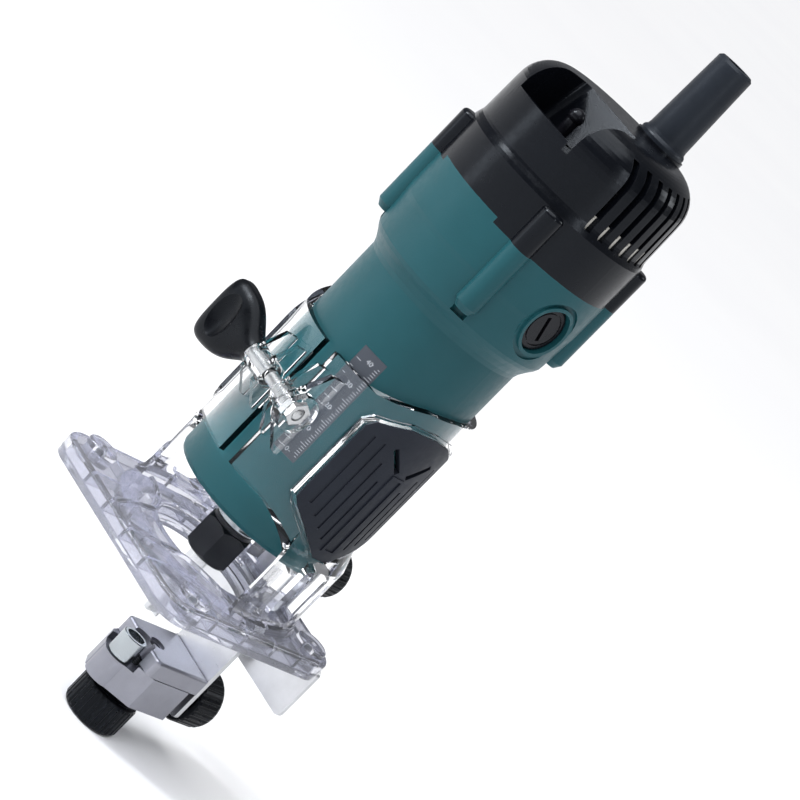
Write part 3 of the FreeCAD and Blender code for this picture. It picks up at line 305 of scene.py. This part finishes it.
def mesh_obj(name, verts, faces, mat, body, smooth=32.0):
    me = bpy.data.meshes.new(name)
    me.from_pydata([tuple(v) for v in verts], [], faces)
    me.validate()
    bm = bmesh.new()
    bm.from_mesh(me)
    bmesh.ops.recalc_face_normals(bm, faces=bm.faces)
    bm.to_mesh(me)
    bm.free()
    me.materials.append(MATS[mat])
    if smooth:
        shade(me, smooth)
    o = bpy.data.objects.new(name, me)
    COL.objects.link(o)
    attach(o, body)
    return o


def thread_grid(r, depth, pitch, length, chamfer=0.5, nt=40, per=10):
    """Closed threaded rod about Z from 0 to length, millimetres: (verts, faces)."""
    nz = max(8, int(length / pitch * per))
    vs, fs = [], []
    for j in range(nz + 1):
        z = length * j / nz
        end = min(1.0, min(z, length - z) / chamfer)
        for i in range(nt):
            ph = (z / pitch - i / nt) % 1.0
            tri = abs(2.0 * ph - 1.0)
            cut = max(0.0, min(1.0, (tri - 0.12) / 0.76))
            rr = r - depth * cut - (1.0 - end) * depth * 1.1
            a = 2 * math.pi * i / nt
            vs.append((rr * math.cos(a), rr * math.sin(a), z))
    for j in range(nz):
        for i in range(nt):
            k = (i + 1) % nt
            fs.append((j * nt + i, j * nt + k, (j + 1) * nt + k, (j + 1) * nt + i))
    c0 = len(vs)
    vs.append((0, 0, 0))
    vs.append((0, 0, length))
    for i in range(nt):
        k = (i + 1) % nt
        fs.append((c0, k, i))
        fs.append((c0 + 1, nz * nt + i, nz * nt + k))
    return vs, fs


def threaded(name, node, body, pitch, depth, axis, mat="zinc_steel"):
    lo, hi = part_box(node)
    c = (lo + hi) / 2
    i = "XYZ".index(axis)
    length = (hi[i] - lo[i]) * 1000
    r = (hi[(i + 1) % 3] - lo[(i + 1) % 3]) * 500 - 0.005
    vs, fs = thread_grid(r, depth, pitch, length)
    out = []
    for x, y, z in vs:
        if axis == "X":
            p = (lo.x + z * MM, c.y + x * MM, c.z + y * MM)
        elif axis == "Y":
            p = (c.x + y * MM, lo.y + z * MM, c.z + x * MM)
        else:
            p = (c.x + x * MM, c.y + y * MM, lo.z + z * MM)
        out.append(p)
    o = mesh_obj(name, out, fs, mat, body, smooth=50.0)
    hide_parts(node)
    return o


threaded("clamp_bolt_thread", "clamp_bolt", "clamp_screw", 0.8, 0.42, "X")
threaded("screw_a_thread", "screw_a_shank", "screw_a", 0.8, 0.42, "Y")
threaded("screw_b_thread", "screw_b_shank", "screw_b", 0.8, 0.42, "Z", "black_steel")
threaded("adjusting_thread", "adjusting_screw", "adjuster", 0.7, 0.36, "Y")

# pale comb that closes the foot of each vent
vs, fs = [], []
for side in (1, -1):
    for iy in range(7):
        y = -17.0 + 5.6 * iy
        xo = math.sqrt(36.6 ** 2 - (abs(y) + 1.1) ** 2) - 0.5
        for y0, y1, top in ((y - 1.1, y - 0.25, 187.8), (y - 0.25, y + 0.25, 186.4), (y + 0.25, y + 1.1, 187.8)):
            k0 = len(vs)
            for z in (182.65, top):
                for x_, y_ in ((xo - 2.4, y0), (xo, y0), (xo, y1), (xo - 2.4, y1)):
                    vs.append((side * x_ * MM, y_ * MM, z * MM))
            for f in ((3, 2, 1, 0), (4, 5, 6, 7), (0, 1, 5, 4), (1, 2, 6, 5), (2, 3, 7, 6), (3, 0, 4, 7)):
                fs.append(tuple(k0 + i for i in f))
mesh_obj("vent_comb", vs, fs, "fan_white", "motor", smooth=None)

# depth scale: raised ticks and plain numerals, wrapped round the barrel
MATS["scale_ink"] = moulded("scale_ink", lin(176, 180, 186), 0.5, 2500.0, 0.00001, 0.05)
R_SC = 32.5


def wrapped(u, v, h):
    """u: arc length in mm from the front towards +X, v: height in mm, h: height over the plate."""
    a = u / R_SC
    r = R_SC + h
    return (r * math.sin(a) * MM, -r * math.cos(a) * MM, v * MM)


def slab(vs, fs, u0, u1, v0, v1, h=0.028):
    k = len(vs)
    for hh in (-0.02, h):
        for u, v in ((u0, v0), (u1, v0), (u1, v1), (u0, v1)):
            vs.append(wrapped(u, v, hh))
    for f in ((3, 2, 1, 0), (4, 5, 6, 7), (0, 1, 5, 4), (1, 2, 6, 5), (2, 3, 7, 6), (3, 0, 4, 7)):
        fs.append(tuple(k + i for i in f))


U0 = math.radians(20.5) * R_SC
U1 = math.radians(38.5) * R_SC
vs, fs = [], []
for i in range(0, 41):
    z = 62.0 + i
    ln = 3.4 if i % 10 == 0 else (2.5 if i % 5 == 0 else 1.5)
    slab(vs, fs, U1 - 0.7 - ln, U1 - 0.7, z - 0.10, z + 0.10)
for i in range(0, 13):
    z = 62.0 + i * 3.175
    ln = 2.0 if i % 4 == 0 else 1.2
    slab(vs, fs, U0 + 0.6, U0 + 0.6 + ln, z - 0.09, z + 0.09)
mesh_obj("scale_ticks", vs, fs, "scale_ink", "motor", smooth=None)


def numeral(name, body_text, u, v, size, h=0.028):
    cu = bpy.data.curves.new(name, "FONT")
    cu.body = body_text
    cu.size = size
    cu.align_x = "CENTER"
    cu.align_y = "CENTER"
    cu.extrude = 0.02
    cu.resolution_u = 3
    tmp = bpy.data.objects.new(name + "_tmp", cu)
    COL.objects.link(tmp)
    dg = bpy.context.evaluated_depsgraph_get()
    me = bpy.data.meshes.new_from_object(tmp.evaluated_get(dg))
    bpy.data.objects.remove(tmp)
    bpy.data.curves.remove(cu)
    out_v = []
    for p in me.vertices:
        out_v.append(wrapped(u + p.co.x, v + p.co.y, h if p.co.z > 0 else -0.02))
    out_f = [tuple(f.vertices) for f in me.polygons]
    bpy.data.meshes.remove(me)
    return out_v, out_f


vs, fs = [], []
for k, (txt, z) in enumerate((("0", 62.0), ("10", 72.0), ("20", 82.0), ("30", 92.0), ("40", 101.6))):
    v_, f_ = numeral("num%d" % k, txt, (U0 + U1) / 2 + 0.2, z, 2.5)
    base = len(vs)
    vs += v_
    fs += [tuple(base + i for i in f) for f in f_]
mesh_obj("scale_numerals", vs, fs, "scale_ink", "motor", smooth=None)

# ------------------------------------------------------------------ stage
def stage_mat():
    k = Mat("floor_paper")
    k.set(Roughness=0.9)
    k.to(k.mix(k.rng(k.noise(3.0), 0.3, 0.7), (0.87, 0.87, 0.88), (0.89, 0.89, 0.895)), "Base Color")
    return k.m


Z_FLOOR = B0[0].z if hasattr(B0[0], "z") else B0[0][2]
me = bpy.data.meshes.new("floor")
S = 40.0
me.from_pydata([(-S, -S, 0), (S, -S, 0), (S, S, 0), (-S, S, 0)], [], [(0, 1, 2, 3)])
floor = bpy.data.objects.new("floor", me)
floor.location = (0, 0, Z_FLOOR - 0.0002)
bpy.context.scene.collection.objects.link(floor)
me.materials.append(stage_mat())

world = bpy.data.worlds.new("studio")
bpy.context.scene.world = world
world.use_nodes = True
bg = world.node_tree.nodes["Background"]
bg.inputs["Color"].default_value = (0.93, 0.95, 1.0, 1)
bg.inputs["Strength"].default_value = 0.24


def area(name, loc, aim, size, power, col=(1, 1, 1), size_y=None):
    d = bpy.data.lights.new(name, "AREA")
    d.shape = "RECTANGLE"
    d.size = size
    d.size_y = size_y or size
    d.energy = power
    d.color = col
    o = bpy.data.objects.new(name, d)
    o.location = loc
    v = Vector(aim) - Vector(loc)
    o.rotation_euler = v.to_track_quat("-Z", "Y").to_euler()
    bpy.context.scene.collection.objects.link(o)
    return o


sun_d = bpy.data.lights.new("overhead_bank", "SUN")
sun_d.energy = 2.95
sun_d.angle = math.radians(70)
sun = bpy.data.objects.new("overhead_bank", sun_d)
sun.rotation_euler = (Vector((0.05, 0.45, -1.0))).to_track_quat("-Z", "Y").to_euler()
bpy.context.scene.collection.objects.link(sun)
area("key_softbox", (-0.68, -0.86, 0.92), (0, 0, 0.14), 0.22, 12.0, (0.97, 0.985, 1.0), 0.55)
area("fill_softbox", (1.15, -0.25, 0.50), (0, 0, 0.10), 0.12, 1.6, (0.95, 0.97, 1.0), 0.7)
area("sheen_softbox", (-0.62, -0.80, 0.24), (0, 0, 0.17), 0.22, 0.8, (0.90, 0.95, 1.0), 0.5)
area("rim_softbox", (0.55, 1.0, 0.80), (0, 0, 0.12), 0.4, 2.2, (0.96, 0.98, 1.0), 0.4)

# ------------------------------------------------------------------ camera
cam_d = bpy.data.cameras.new("camera")
cam_d.sensor_fit = "HORIZONTAL"
cam_d.sensor_width = 36.0
cam_d.lens = 3132.8 / 800.0 * 36.0
cam_d.clip_start = 0.05
cam_d.clip_end = 200.0
cam = bpy.data.objects.new("camera", cam_d)
X = Vector((0.47089, 0.55775, 0.68351)).normalized()
Fw = Vector((-0.60196, 0.76953, -0.21324)).normalized()
Y = (-X.cross(Fw)).normalized()
Y = X.cross(Fw) * -1.0
Yv = Vector((-0.64491, -0.31103, 0.69810))
if Y.dot(Yv) < 0:
    Y = -Y
Y.normalize()
Z = -Fw
m = Matrix.Identity(4)
for i in range(3):
    m[i][0], m[i][1], m[i][2] = X[i], Y[i], Z[i]
m.translation = Vector((0.64303, -0.80457, 0.31778))
cam.matrix_world = m
bpy.context.scene.collection.objects.link(cam)
bpy.context.scene.camera = cam

sc = bpy.context.scene
sc.view_settings.view_transform = "Standard"
sc.view_settings.look = "None"
sc.view_settings.exposure = 0.0
sc.cycles.max_bounces = 28
sc.cycles.transmission_bounces = 28
sc.cycles.transparent_max_bounces = 28
